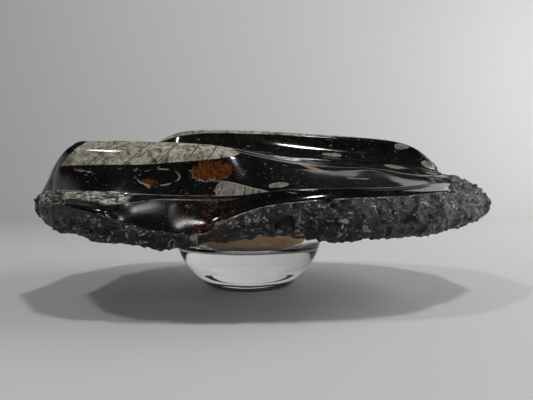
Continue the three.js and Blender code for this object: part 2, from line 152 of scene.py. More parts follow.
LINES = [
    dict(name="front lip", rows=11, soft=0.4, rough=ROUGH, bow=[[0, 1.5]],
         knots=[[-111, -43, 46], [-99, -60, 42.5], [-78, -77, 39.5], [-52, -84, 36.5], [-34, -87, 33.5],
                [-22, -87, 35.5], [-11, -87, 38.5], [20, -86, 40], [48, -82, 36.7], [62, -80, 39],
                [91, -71, 39.5], [109, -58, 41.5], [128, -42, 44], [139, -29, 48]]),
    dict(name="front belly", rows=24, soft=0.8, rough=ROUGH, bow=[[0, 1]],
         knots=[[-111, -47, 49.5], [-99, -65, 48], [-78, -83, 45], [-52, -89, 41], [-34, -91.5, 38.5],
                [-16, -92, 39.3], [0, -92, 44], [20, -91, 46.5], [48, -88, 45], [91, -76, 48],
                [109, -63, 50], [128, -46, 51], [139, -33, 51.5]]),
    dict(name="ledge", rows=22, soft=0.0, rough=[[-90, 1], [-74, 0], [104, 0], [114, 1]],
         edge=[[-70, 0], [-22, 0], [-16, 1], [60, 1], [100, 0.5], [112, 0]],
         debris=[[-84, 1], [-70, 0]], satin=[[-62, 0], [-50, 1], [-24, 1], [-14, 0]],
         bow=[[-92, 0], [-70, -3], [-57, -1], [-47, 0.8], [-34, 0.8], [-24, -2], [-12, -4], [0, -4], [40, -3],
              [90, -2], [125, 0]],
         knots=[[-111, -48, 53], [-95, -69, 54], [-66, -85, 50.5], [-52, -88, 46.5], [-38, -90, 43.5],
                [-16, -91.5, 41.5], [-10, -91.5, 45], [-3, -91, 49], [14, -90, 54], [38, -88, 56.5],
                [76, -76, 58], [98, -64, 59.5], [120, -50, 59.5], [139, -34, 56]]),
    dict(name="brow", rows=8, soft=0.0, rough=[[-62, 1], [-40, 0], [105, 0], [115, 1]], bow=[[-90, 0.5]],
         edge=[[-100, 0], [-85, 0.5], [-30, 0.6], [-10, 0.3], [0, 0]], debris=[[-50, 1], [-32, 0]],
         knots=[[-111, -48, 56], [-95, -69, 57], [-80, -78, 57], [-59, -82, 54.2], [-36, -82, 56.4],
                [-10, -81, 56.2], [13, -79, 59.2], [43, -76, 60.6], [67, -70, 60.8], [89, -62, 62.5],
                [112, -50, 64.2], [130, -38, 62.5], [139, -32, 58.5]]),
    dict(name="front edge", rows=24, soft=0.1, rough=[[94, 0], [106, 1]],
         edge=[[-100, 0.6], [-30, 0.5], [0, 0.8], [100, 0.8], [118, 0.3]],
         bow=[[-90, 0.6], [-20, -1], [40, 0.6], [90, -0.8]],
         knots=[[-111, -48, 59], [-92, -66, 60.7], [-59, -74, 59.4], [-24, -76, 58], [1, -77, 58.6],
                [27, -76, 61.2], [67, -69, 61.9], [112, -49, 65], [130, -36, 63.8], [139, -30, 59.4]]),
    dict(name="ridge A foot", rows=20, soft=0.5, rough=[[111, 0], [119, 1]], ridge_a=ROUGH,
         bow=[[-90, 1.2], [-20, 1], [5, 0.6], [50, 0.6], [100, 0.8]],
         knots=[[-111, -47, 61], [-92, -62, 73.2], [-57, -66, 73.3], [-36, -66, 73.4], [-25, -65, 74.5],
                [-6, -62, 77], [6, -59.5, 75], [24, -53, 73], [40, -46, 72.3], [58, -40.5, 72.4],
                [69, -38, 73], [88, -42, 69.8], [108, -42, 68.4], [120, -37, 67.8], [131, -31, 65],
                [139, -27, 60]]),
    dict(name="ridge A shoulder", rows=12, soft=1.0, rough=[[114, 0], [121, 1]], ridge_a=ROUGH,
         bow=[[-90, 0.8], [10, 0.3], [60, -0.4], [110, -0.6]],
         knots=[[-111, -43, 61.5], [-88, -57, 84.6], [-41, -58, 84.4], [-20, -57, 83.7], [-6, -55, 82],
                [6, -51.5, 79.6], [24, -44, 76.8], [40, -37, 75.6], [58, -31, 75.4], [75, -28, 74.8],
                [100, -27, 70.8], [120, -27, 69], [131, -26, 66.5], [139, -24, 60.4]]),
    dict(name="ridge A crest", rows=14, soft=1.0, rough=[[114, 0], [121, 1]], ridge_a=ROUGH,
         bow=[[-90, 0.8], [10, 0.3], [60, 0], [110, 0]],
         knots=[[-111, -38, 62], [-89, -50, 87], [-70, -50, 87.2], [-42, -50, 86.2], [-20, -49, 85],
                [-6, -46, 83.6], [6, -41, 82], [24, -33, 79.8], [40, -27, 79], [58, -23, 78.2],
                [75, -21, 77.4], [100, -20.5, 73.2], [120, -21, 70], [131, -21, 67.5], [139, -20, 60.6]]),
    dict(name="ridge A back", rows=12, soft=1.0, rough=[[114, 0], [121, 1]],
         bow=[[-90, -1.5], [-20, -1.2], [20, 0]],
         knots=[[-111, -32, 62], [-89, -35, 84.2], [-42, -37, 83.6], [-20, -37, 83.2], [-6, -34, 83.6],
                [6, -27.5, 83.8], [24, -23, 82], [40, -19.5, 81.2], [58, -17.5, 80], [75, -16.5, 79],
                [100, -16.5, 75.4], [120, -17.5, 70.6], [131, -17, 68], [139, -17, 60.7]]),
    dict(name="valley AB", rows=8, soft=1.0, rough=[[114, 0], [121, 1]],
         bow=[[-90, -1], [-20, -0.5], [20, 0]],
         knots=[[-111, -26, 62], [-89, -20, 75], [-42, -21, 77], [-20, -20, 81.5], [-6, -16, 84.8],
                [12, -13, 85], [35, -12.5, 83.4], [58, -12.6, 81.3], [81, -13, 79.4], [103, -13.6, 76.5],
                [120, -14.6, 71.6], [131, -13, 68.5], [139, -14, 60.8]]),
    dict(name="ridge B foot", rows=24, soft=0.15, rough=RIGHT_TIP,
         edge=[[-14, 0], [6, 0.5], [12, 1], [60, 0.8], [90, 0.2], [120, 0.1]],
         bow=[[-70, -1], [-20, -1.5], [40, -4], [100, -4.5], [122, -2]],
         knots=[[-111, -19, 62], [-89, -10, 74], [-63, -6, 79], [-42, -7, 83], [-12, -9, 87.4],
                [15, -10, 85.6], [58, -10, 81.9], [81, -11, 80], [103, -11.6, 77.2], [120, -11, 72.6],
                [131, -9, 69], [139, -12, 60.8]]),
    dict(name="ridge B shoulder", rows=8, soft=0.8, rough=RIGHT_TIP, bow=[[0, 0.7]],
         knots=[[-111, -12, 62], [-89, -2, 75], [-70, 3, 85.5], [-57, 5, 93.8], [-47, 4, 97.4],
                [-25, 4, 99.9], [15, 4, 99.2], [55, 4, 97], [88, 4, 94], [105, 4, 91], [113, 3, 87.5],
                [120, 1, 81], [127, -2, 72.5], [132, -4, 68], [139, -8, 60.8]]),
    dict(name="ridge B crest", rows=12, soft=1.0, rough=RIGHT_TIP, bow=[[0, 0.6]],
         knots=[[-111, -5, 62], [-89, 5, 76], [-72, 9, 88], [-60, 10, 96.4], [-48, 10, 101.6],
                [-36, 10, 103], [-10, 10, 102.8], [35, 10, 100.6], [82, 10, 97.4], [95, 10, 95.8],
                [105, 10, 93.6], [113, 10, 90], [120, 9, 84.4], [127, 6, 76], [132, 3, 69.5],
                [139, -4, 60.6]]),
    dict(name="ridge B back", rows=12, soft=1.0, rough=RIGHT_TIP,
         bow=[[-60, -3], [0, -5], [80, -4], [120, -1]],
         knots=[[-111, 2, 61], [-89, 13.8, 76], [-65, 17.7, 90.5], [-48, 19.2, 99.2], [-10, 20, 100.4],
                [35, 21.6, 98], [82, 22.3, 93.6], [100, 20.8, 89.6], [113, 17.7, 83], [122, 14.6, 76],
                [131, 9, 67.5], [139, 0, 60.2]]),
    dict(name="valley BC", rows=10, soft=1.0, rough=RIGHT_TIP, bow=[[-60, -1], [80, -1]],
         knots=[[-111, 8, 60], [-95, 20.8, 73], [-63, 27.7, 80], [-10, 33.1, 82], [35, 36.2, 82.5],
                [82, 35.4, 79], [115, 29.2, 72.4], [129, 16.9, 66.5], [139, 4, 59.8]]),
    dict(name="ridge C shoulder", rows=8, soft=1.0, rough=RIGHT_TIP, bow=[[0, 0.8]],
         knots=[[-111, 11.5, 59], [-95, 26.9, 75.5], [-63, 36.2, 90], [-20, 41.6, 92.5], [20, 45.4, 89],
                [55, 47, 84], [82, 43.9, 78], [115, 33.9, 71], [129, 20.8, 65.4], [139, 7, 59.2]]),
    dict(name="ridge C crest", rows=8, soft=1.0, rough=RIGHT_TIP, bow=[[0, 0.8]],
         knots=[[-111, 13.8, 58], [-95, 31.6, 77], [-63, 43.1, 92.6], [-20, 49.3, 94.6], [20, 52.4, 90.6],
                [55, 52.4, 85], [82, 47.7, 78.4], [115, 37, 70.4], [129, 23.9, 64.6], [139, 9, 58.6]]),
    dict(name="ridge C back", rows=12, soft=0.6, rough=RIGHT_TIP, bow=[[-60, 1], [60, 0.6]],
         knots=[[-111, 15.4, 57], [-95, 36.2, 73], [-63, 51.6, 87.4], [-20, 58.5, 88.6], [20, 59.3, 84.6],
                [55, 57.7, 79.6], [82, 52.4, 74.4], [115, 40, 67.6], [129, 26.2, 63], [139, 10.8, 57.8]]),
    dict(name="back edge", rows=8, soft=0.2, rough=ROUGH, bow=[[0, 1.2]],
         knots=[[-111, 16.9, 55], [-95, 40, 61], [-63, 57.7, 64], [-20, 66.2, 66], [20, 67, 63],
                [55, 63.1, 62], [82, 57, 62.5], [115, 43.1, 60], [129, 28.5, 58.5], [139, 12.3, 56]]),
    dict(name="back belly", rows=7, soft=0.8, rough=ROUGH, bow=[[0, 1.5]],
         knots=[[-111, 17.7, 51], [-95, 43.1, 50], [-63, 61.6, 52], [-20, 70.1, 51], [20, 70.8, 52],
                [55, 67, 50], [82, 60.8, 51], [115, 46.2, 52], [129, 30.8, 52], [139, 13.8, 52.5]]),
    dict(name="back lip", rows=0, soft=0.4, rough=ROUGH, bow=[[0, 0]],
         knots=[[-111, 14.6, 47.5], [-95, 39.3, 43.5], [-63, 57, 41], [-20, 65.4, 40], [20, 66.2, 39.6],
                [55, 62.4, 41], [82, 56.2, 42], [115, 41.6, 44], [129, 26.2, 46], [139, 10, 49]]),
]

SLAB_LEFT = -111.0
SLAB_RIGHT = 138.0
STATIONS = 300
END_STATIONS = 8
END_BULGE = 4.0
LEFT_END_HEIGHT = 48.5
RIGHT_END_HEIGHT = 54.5
UNDERSIDE_ROWS = 44

# The cut facet at the left end: a point on it, its rise per mm of x and y, its rounding and its foot.
FACET = dict(x=-88.7, y=-50.0, z=85.5, rise_x=1.22, rise_y=-0.15, round=2.5, floor=59.0)

RIM_HEIGHT = 37.4
SEAT_GAP = 0.3
SEAT_RADIUS = 56.0
SEAT_BLEND = 74.0
HUMP_DEPTH = 11.4
HUMP_CENTRE_X = 1.0
HUMP_CORE = 30.0
HUMP_RADIUS = 42.0
UNDERSIDE_BUMP = dict(size=11.0, seed=5, level=55.0)
SEAT_BUMP = 0.7  # bump height on the seat, and on the rest of the underside
NATURAL_BUMP = 1.2


def unit(v):
    return v / np.maximum(np.linalg.norm(v, axis=-1, keepdims=True), 1e-9)


def cut_by_facet(x, y, z):
    """The height left at (x, y) once the left end's facet is cut."""
    height = FACET["z"] + FACET["rise_x"] * (x - FACET["x"]) + FACET["rise_y"] * (y - FACET["y"])
    return np.maximum(soft_min(z, height, FACET["round"]), np.minimum(z, FACET["floor"]))


def stretch_steps(length, rows):
    """Shares along a stretch: a narrow row beside each of its lines, and even rows between."""
    narrow = np.minimum(NARROW / length, 0.2)
    inner = np.arange(rows - 2)[:, None] / (rows - 3)
    return np.concatenate([np.zeros((1, len(length))), mix(narrow, 1 - narrow, inner)])


def top_rows(x):
    """The top's points from front lip to back lip [row, station, 3], and each point's marks."""
    corners = np.array([[along(line["knots"], x, 1), along(line["knots"], x, 2)] for line in LINES])
    corners = np.moveaxis(corners, 1, -1)                       # [line, station, (y, z)]
    chords = np.diff(corners, axis=0)
    lengths = np.linalg.norm(chords, axis=-1, keepdims=True)
    directions = unit(chords)
    rows = []
    marks = {name: [] for name in MARKS}

    def tangent(chord, at):
        """The section's direction at a line, between its own chord's and the smooth one."""
        if at in (0, len(LINES) - 1):
            return chord
        smooth = unit(directions[at - 1] * lengths[at] + directions[at] * lengths[at - 1])
        return unit(mix(chord, smooth, LINES[at]["soft"]))

    for k, line in enumerate(LINES[:-1]):
        chord, length = directions[k], lengths[k]
        start = tangent(chord, k) * length
        finish = tangent(chord, k + 1) * length
        bow = along(line["bow"], x)[:, None]
        bow = np.sign(bow) * np.minimum(np.abs(bow), 0.3 * length)
        outward = np.stack([-chord[:, 1], chord[:, 0]], axis=-1)
        t = stretch_steps(length[:, 0], line["rows"])[..., None]   # [row, station, 1]
        section = ((2 * t ** 3 - 3 * t ** 2 + 1) * corners[k] + (t ** 3 - 2 * t ** 2 + t) * start
                   + (3 * t ** 2 - 2 * t ** 3) * corners[k + 1] + (t ** 3 - t ** 2) * finish
                   + outward * bow * 4 * t * (1 - t))
        rows.append(np.concatenate([np.broadcast_to(x[None, :, None], t.shape), section], axis=-1))
        for name in MARKS:
            value = np.broadcast_to(along(line.get(name, POLISHED), x), t.shape[:2]).copy()
            if name == "edge":
                value[1:] = 0.0
            elif name != "rough" and k and name not in LINES[k - 1]:
                value[0] = 0.0
            marks[name].append(value)
    rows = np.concatenate(rows)
    rows[..., 2] = cut_by_facet(rows[..., 0], rows[..., 1], rows[..., 2])
    return rows, {name: np.concatenate(value) for name, value in marks.items()}


def underside_rows(x):
    """The underside's points from back lip to front lip."""
    front = np.stack([x, along(LINES[0]["knots"], x, 1), along(LINES[0]["knots"], x, 2)], axis=-1)
    back = np.stack([x, along(LINES[-1]["knots"], x, 1), along(LINES[-1]["knots"], x, 2)], axis=-1)
    rows = []
    for i in range(UNDERSIDE_ROWS):
        t = i / UNDERSIDE_ROWS
        point = mix(back, front, t)
        radius = np.hypot(point[:, 0], point[:, 1])
        flat = point * [1.0, 1.0, 0.0] + [0.0, 0.0, UNDERSIDE_BUMP["level"]]
        bumps = noise(flat, UNDERSIDE_BUMP["size"], UNDERSIDE_BUMP["seed"])
        seat = RIM_HEIGHT + SEAT_GAP + SEAT_BUMP * (1 + bumps)
        natural = point[:, 2] + NATURAL_BUMP * bumps
        hump = 1 - smooth_step(HUMP_CORE, HUMP_RADIUS, np.hypot(point[:, 0] - HUMP_CENTRE_X, point[:, 1]))
        level = mix(seat, natural, smooth_step(SEAT_RADIUS, SEAT_BLEND, radius)) - HUMP_DEPTH * hump
        edge = min(1.0, 8 * min(t, 1 - t))
        point[:, 2] = mix(point[:, 2], level, edge)
        rows.append(point)
    return np.array(rows)


def end_loops(loop, outward, height):
    """Loops past a full one, each lower and further out, which round off a broken end."""
    loops = []
    centre = loop[:, 1].mean()
    for i in range(END_STATIONS):
        angle = (i + 1) / END_STATIONS * 1.3
        shrink = math.cos(angle)
        moved = loop.copy()
        moved[:, 0] += outward * END_BULGE * math.sin(angle)
        moved[:, 1] = mix(centre, loop[:, 1], mix(0.8, 1.0, shrink))
        moved[:, 2] = mix(height, loop[:, 2], shrink)
        loops.append(moved)
    return loops


def slab_grid():
    """The stone's points [station, row, 3], and each point's marks [station, row]."""
    x = SLAB_LEFT + (SLAB_RIGHT - SLAB_LEFT) * np.arange(STATIONS) / (STATIONS - 1)
    top, marks = top_rows(x)
    under = underside_rows(x)
    points = np.moveaxis(np.concatenate([top, under]), 0, 1)
    left = end_loops(points[0], -1, LEFT_END_HEIGHT)[::-1]
    right = end_loops(points[-1], 1, RIGHT_END_HEIGHT)
    points = np.concatenate([np.array(left), points, np.array(right)])
    below = {"rough": np.ones(under.shape[:2])}
    for name, value in marks.items():
        value = np.concatenate([value, below.get(name, np.zeros(under.shape[:2]))]).T
        end = np.full((END_STATIONS, value.shape[1]), 1.0 if name == "rough" else 0.0)
        marks[name] = np.concatenate([end, value, end])
    return points, marks


def grid_normals(points):
    """Outward normals of a grid that is closed round each station's loop."""
    along_x = np.gradient(points, axis=0)
    around = np.roll(points, -1, axis=1) - np.roll(points, 1, axis=1)
    return unit(np.cross(around, along_x))


def facets(points, size, seed):
    """Broken facets from -1 to 1: each cell of space is a flat chip with its own tilt and level."""
    p = points / size
    base = np.floor(p).astype(np.int64)
    nearest = np.full(points.shape[:-1], 9.0)
    height = np.zeros(points.shape[:-1])
    steps = (-1, 0, 1)
    for di, dj, dk in [(i, j, k) for i in steps for j in steps for k in steps]:
        cell = base + (di, dj, dk)
        corner = [lattice(cell[..., 0], cell[..., 1], cell[..., 2], seed + n) for n in range(7)]
        offset = p - (cell + 0.5 + 0.42 * np.stack(corner[:3], axis=-1))
        distance = np.linalg.norm(offset, axis=-1)
        chip = 0.45 * corner[3] + sum(offset[..., n] * corner[4 + n] for n in range(3))
        closer = distance < nearest
        height = np.where(closer, chip, height)
        nearest = np.where(closer, distance, nearest)
    return height


# The relief of broken stone and of polish: size and height in millimetres, and the random seed.
COARSE = dict(size=13.0, height=1.3, seed=11)
CHIPS = dict(size=7.5, height=1.15, seed=60)
SMALL_CHIPS = dict(size=3.0, height=0.6, seed=80)
FINE = dict(size=2.2, height=0.35, seed=31)
POLISH = dict(size=16.0, height=0.10, seed=41)
CHIP_SHIFT = 5.0  # keeps the small chips apart from the large ones
SEAT_EDGE = (54, 60)  # the relief fades out over the dish, inside this ring
SEAT_TOP = 45
SEAT_CALM = 0.85  # and so much of it goes there


def waves(points, kind):
    return layered(points, kind["size"], 2, kind["seed"]) * kind["height"]


def chips(points, kind):
    return facets(points, kind["size"], kind["seed"]) * kind["height"]


def weather(points, rough):
    """The broken parts' relief, and the slight waviness that hand polishing leaves."""
    normal = grid_normals(points)
    seat = 1 - smooth_step(*SEAT_EDGE, np.hypot(points[..., 0], points[..., 1]))
    seat = seat * (points[..., 2] < SEAT_TOP)
    relief = waves(points, COARSE) + waves(points, FINE)
    relief = relief + chips(points, CHIPS) + chips(points + CHIP_SHIFT, SMALL_CHIPS)
    relief = relief * rough * (1 - SEAT_CALM * seat)
    return points + normal * (relief + waves(points, POLISH) * (1 - rough))[..., None]


def mesh_from_grid(name, points):
    """A mesh over a grid of loops, with a fan of triangles over each end."""
    stations, rows = points.shape[:2]
    first, last = points[0].mean(axis=0), points[-1].mean(axis=0)
    vertices = np.concatenate([points.reshape(-1, 3), [first, last]]) * MM
    i, j = np.meshgrid(np.arange(stations - 1), np.arange(rows), indexing="ij")
    a = i * rows + j
    b = i * rows + (j + 1) % rows
    quads = np.stack([a, a + rows, b + rows, b], axis=-1).reshape(-1, 4)
    j = np.arange(rows)
    k = (j + 1) % rows
    start = (stations - 1) * rows
    left = np.stack([j, k, np.full(rows, stations * rows)], axis=-1)
    right = np.stack([start + k, start + j, np.full(rows, stations * rows + 1)], axis=-1)
    faces = [list(map(int, f)) for f in quads] + [list(map(int, f)) for f in np.concatenate([left, right])]
    mesh = bpy.data.meshes.new(name)
    mesh.from_pydata(vertices.tolist(), [], faces)
    mesh.validate()
    mesh.update()
    return mesh


def add_value(mesh, name, values):
    attribute = mesh.attributes.new(name, "FLOAT", "POINT")
    attribute.data.foreach_set("value", np.asarray(values, np.float32))


grid, marks = slab_grid()
grid = weather(grid, marks["rough"])
slab_mesh = mesh_from_grid("stone", grid)
for mark in MARKS:
    caps = [1.0, 1.0] if mark == "rough" else [0.0, 0.0]
    add_value(slab_mesh, mark, np.concatenate([marks[mark].reshape(-1), caps]))
slab_mesh.polygons.foreach_set("use_smooth", [True] * len(slab_mesh.polygons))
slab = bpy.data.objects.new("carved_slab", slab_mesh)
bpy.context.scene.collection.objects.link(slab)
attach(slab, "root")
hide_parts("orthoceras_slab")

# ----------------------
# Node graphs. A Signal is one output of a node; arithmetic on it adds nodes.
# ----------------------


class Signal:
    def __init__(self, graph, socket):
        self.graph = graph
        self.socket = socket

    def __add__(self, other):
        return self.graph.math("ADD", self, other)

    def __sub__(self, other):
        return self.graph.math("SUBTRACT", self, other)

    def __rsub__(self, other):
        return self.graph.math("SUBTRACT", other, self)

    def __mul__(self, other):
        return self.graph.math("MULTIPLY", self, other)

    def __truediv__(self, other):
        return self.graph.math("DIVIDE", self, other)

    def __pow__(self, other):
        return self.graph.math("POWER", self, other)

    __radd__ = __add__
    __rmul__ = __mul__


def new_material(name):
    material = bpy.data.materials.new(name)
    material.use_nodes = True
    return material


class Graph:
    """A material's or world's node tree, and short ways of adding the nodes used here."""

    def __init__(self, owner):
        """owner is a material or a world that uses nodes."""
        self.owner = owner
        self.tree = owner.node_tree
        self.shader = self.tree.nodes.get("Principled BSDF")

    def feed(self, socket, value):
        if isinstance(value, Signal):
            self.tree.links.new(value.socket, socket)
        elif isinstance(value, tuple) and len(value) == 3 and socket.type == "RGBA":
            socket.default_value = (*value, 1.0)
        else:
            socket.default_value = value

    def node(self, kind, output, inputs, **settings):
        node = self.tree.nodes.new(kind)
        for key, value in settings.items():
            setattr(node, key, value)
        for key, value in inputs.items():
            self.feed(node.inputs[key], value)
        return Signal(self, node.outputs[output])

    def math(self, operation, *values):
        return self.node("ShaderNodeMath", 0, dict(enumerate(values)), operation=operation)

    def vector(self, operation, *values, output="Vector"):
        return self.node("ShaderNodeVectorMath", output, dict(enumerate(values)), operation=operation)

    def scaled(self, vector, factor):
        return self.node("ShaderNodeVectorMath", "Vector", {0: vector, "Scale": factor}, operation="SCALE")

    def axes(self, vector):
        node = self.tree.nodes.new("ShaderNodeSeparateXYZ")
        self.feed(node.inputs[0], vector)
        return [Signal(self, output) for output in node.outputs]

    def stretched(self, vector, factors):
        return self.vector("MULTIPLY", vector, factors)

    def least(self, a, b):
        return self.math("MINIMUM", a, b)

    def most(self, a, b):
        return self.math("MAXIMUM", a, b)

    def rise(self, value, low, high):
        """0 below low, 1 above high, and smooth between. low may be above high."""
        return self.node("ShaderNodeMapRange", 0,
                         {"Value": value, "From Min": low, "From Max": high, "To Min": 0.0, "To Max": 1.0},
                         interpolation_type="SMOOTHSTEP")

    def noise(self, vector, size, detail=2.0, roughness=0.5, distortion=0.0, output="Fac"):
        """Noise from 0 to 1 whose features are about size across."""
        return self.node("ShaderNodeTexNoise", output,
                         {"Vector": vector, "Scale": 1.0 / size, "Detail": detail, "Roughness": roughness,
                          "Distortion": distortion})

    def cells(self, vector, size, output="Distance"):
        return self.node("ShaderNodeTexVoronoi", output, {"Vector": vector, "Scale": 1.0 / size})

    def mark(self, name):
        return self.node("ShaderNodeAttribute", "Fac", {}, attribute_name=name)

    def colours(self, amount, stops):
        """A ramp of (place, colour) stops."""
        node = self.tree.nodes.new("ShaderNodeValToRGB")
        self.feed(node.inputs["Fac"], amount)
        ramp = node.color_ramp
        while len(ramp.elements) < len(stops):
            ramp.elements.new(0.5)
        for element, (place, colour) in zip(ramp.elements, stops):
            element.position = place
            element.color = (*colour, 1.0)
        return Signal(self, node.outputs["Color"])

    def blend(self, amount, a, b):
        node = self.tree.nodes.new("ShaderNodeMix")
        node.data_type = "RGBA"
        colour = [socket for socket in node.inputs if socket.type == "RGBA"]
        self.feed(node.inputs[0], amount)
        self.feed(colour[0], a)
        self.feed(colour[1], b)
        return Signal(self, [socket for socket in node.outputs if socket.type == "RGBA"][0])

    def bump(self, height, distance):
        """The normal over a relief of the given height, in units of distance."""
        settings = {"Height": height, "Distance": distance, "Strength": 1.0}
        return self.node("ShaderNodeBump", "Normal", settings)


# ----------------------
# The fossils in the stone: places and sizes in millimetres.
# wide and tip are the two ends of a shell's axis, radius its size at the wide end.
# power: how it tapers from the tip (1 is a straight cone). cap: its greatest radius.
# lens: tapers at both ends. blunt: rounded at the wide end. ragged: how uneven its outline is.
# septa: (first wall's distance from the tip, growth ratio, shift that evens out the first
# walls, bend), where there are walls. tint: its colours. on: the mark it keeps within.
# ----------------------

BEVEL_SLOPE = 0.75  # ridge A's shell ends at the bevel x - slope z = at
BEVEL_AT = -147.5
BLUNTNESS = 2.2  # how full a blunt shell's wide end is
SLIGHTLY_RAGGED = 0.1  # how uneven the other fossils' outlines are
WALL_EDGE = 0.42  # half a wall's width where it fades out, mm
WALL_CORE = 0.16  # half its width at full strength, mm


def cone(tint, wide, tip, radius, power, septa, **more):
    """A chambered shell, wide at one end."""
    return dict(tint=tint, wide=wide, tip=tip, radius=radius, power=power, septa=septa, **more)


def patch(tint, wide, tip, radius, **more):
    """A fossil or stain that tapers at both ends."""
    return dict(tint=tint, wide=wide, tip=tip, radius=radius, lens=True, **more)


FOSSILS = [
    # ridge A shell
    cone("pale", (-112, -54, 85.2), (-2.5, -57.5, 79.9), 19.0, power=0.42,
         septa=(12.0, 1.27, 21.0, 0.056), on="ridge_a"),
    # ridge B shell
    cone("pale", (-68, 13.5, 101.0), (112, 12, 94.5), 13.6, power=0.5,
         septa=(9.0, 1.16, 20.0, 0.04), cap=8.9),
    # ridge C shell
    cone("pale", (-72, 42, 88), (74, 50, 80.5), 11.5, power=0.7, septa=(14.0, 1.17, 8.0, 0.04)),
    # grey cone
    cone("grey", (-13, -74, 62.5), (13, -77.0, 60.4), 5.6, power=0.62,
         septa=(5.0, 1.35, 3.0, 0.05), blunt=True),
    # valley cone
    cone("pale", (-34, 25, 84), (22, 33, 82.5), 4.4, power=0.8,
         septa=(8.0, 1.2, 3.0, 0.05), blunt=True),
    # slope cone
    cone("grey", (96, 37, 76), (52, 33, 82.5), 4.2, power=0.8,
         septa=(7.0, 1.22, 3.0, 0.05), blunt=True),
    # left cone
    cone("pale", (-68, 14, 89), (-92, 28, 74.5), 4.0, power=0.8,
         septa=(6.0, 1.25, 3.0, 0.05), blunt=True),
    # back cone
    cone("grey", (-60, 60, 66), (-12, 65.5, 74), 5.4, power=0.8,
         septa=(9.0, 1.2, 3.0, 0.05), blunt=True),
    patch("tan", (24, 64.5, 75), (46, 63, 71), 2.2),  # back sliver
    patch("rust", (62, 57, 70), (80, 52.5, 66), 4.0, ragged=1.2),  # back patch
    patch("grey", (12.6, -73.2, 63.2), (22.6, -71.3, 64.6), 2.3),  # almond
    patch("tan", (29.5, -44.5, 75.6), (44, -47.5, 71.6), 2.5),  # tan sliver
    patch("grey", (97.5, 3.5, 91.4), (107.5, 4.5, 91.6), 2.3),  # ridge B oval
    patch("grey", (84, -19, 76.3), (97.5, -17.5, 75.4), 2.6),  # slope oval
    patch("grey", (113.5, -2, 80.5), (122.5, -1, 77), 3.6),  # end oval
    patch("grey", (48, -2.5, 85.4), (61, -2.5, 85.2), 2.0),  # crease oval
    patch("rust", (-25.5, -68, 70.0), (-5, -66.5, 71.2), 6.2, ragged=2.0),  # rust patch
    patch("rust", (-50.5, -71, 66.2), (-39.5, -73.5, 64.4), 2.7, ragged=1.0),  # small rust patch
    patch("dark", (-52, -70.5, 67.5), (-30, -70.5, 68.5), 5.0),  # dark lens
    patch("rust", (-86, -63.5, 72), (-80, -65.5, 70.8), 1.0, ragged=0.5),  # orange fleck
    patch("grey", (52, -58, 67), (66, -56, 67.5), 0.9),  # slope arc
]


def shell_radius(graph, fossil, share, left):
    """The shell's radius at a share of its axis from the tip, with left to go to the wide end."""
    if fossil.get("lens"):
        return graph.math("SQRT", graph.most(share * (1.0 - share), 0.0)) * (2.0 * fossil["radius"])
    radius = share ** fossil["power"] * fossil["radius"]
    if "cap" in fossil:
        radius = graph.least(radius, fossil["cap"])
    if "blunt" in fossil:
        round_end = graph.math("SQRT", graph.most(left, 0.0) * (BLUNTNESS * fossil["radius"]))
        radius = graph.least(radius, round_end)
    return radius


def shell_walls(graph, fossil, u, across, ragged_noise):
    """How much of the point u along a shell, and across from its axis, is on one of its walls."""
    first, ratio, shift, bend = fossil["septa"]
    bent = u - across * bend + (ragged_noise - 0.5) * 1.2 + shift
    counted = graph.math("LOGARITHM", graph.most(bent, 0.5) / (first + shift), ratio)
    nearest = graph.math("ABSOLUTE", counted - graph.math("ROUND", counted))
    distance = nearest * graph.most(bent, 0.5) * math.log(ratio)
    past_first = graph.rise(bent, first + shift - 1.5, first + shift - 1.0)
    return graph.rise(distance, WALL_EDGE, WALL_CORE) * past_first


def shell(graph, point, fossil, ragged_noise):
    """How much of point is inside a fossil, and how much is on one of its walls and on its outline."""
    wide, tip = np.array(fossil["wide"], float), np.array(fossil["tip"], float)
    length = float(np.linalg.norm(wide - tip))
    back = tuple((wide - tip) / length)
    offset = graph.vector("SUBTRACT", point, tuple(tip))
    u = graph.vector("DOT_PRODUCT", offset, back, output="Value")
    squared = graph.vector("DOT_PRODUCT", offset, offset, output="Value")
    across = graph.most(squared - u * u, 0.0)
    share = graph.node("ShaderNodeClamp", 0, {"Value": u * (1.0 / length), "Min": 0.0, "Max": 1.0})
    depth = shell_radius(graph, fossil, share, length - u) - graph.math("SQRT", across)
    depth = depth + (ragged_noise - 0.5) * (5.0 * fossil.get("ragged", SLIGHTLY_RAGGED))
    short_of_end = graph.rise(u, length + 0.5, length)
    inside = graph.rise(depth, 0.0, 0.35) * short_of_end
    z = graph.axes(point)[2]
    if "on" in fossil:
        bevel = graph.axes(point)[0] - z * BEVEL_SLOPE + (ragged_noise - 0.5) * 1.5
        inside = inside * graph.rise(graph.mark(fossil["on"]), 0.4, 0.6)
        inside = inside * graph.rise(bevel, BEVEL_AT - 0.3, BEVEL_AT + 0.3)
    outline = (graph.rise(depth, -0.45, -0.05) - graph.rise(depth, 0.15, 0.55)) * short_of_end
    if fossil["tint"] == "rust":
        middle = (wide[2] + tip[2]) / 2
        outline = outline * graph.rise(z, middle + 0.5, middle - 1.5)
    walls = None
    if "septa" in fossil:
        walls = shell_walls(graph, fossil, u, across, ragged_noise) * inside
    return inside, walls, outline


# ----------------------
# The stone's material. A colour table lists (place on the ramp, colour) stops.
# ----------------------

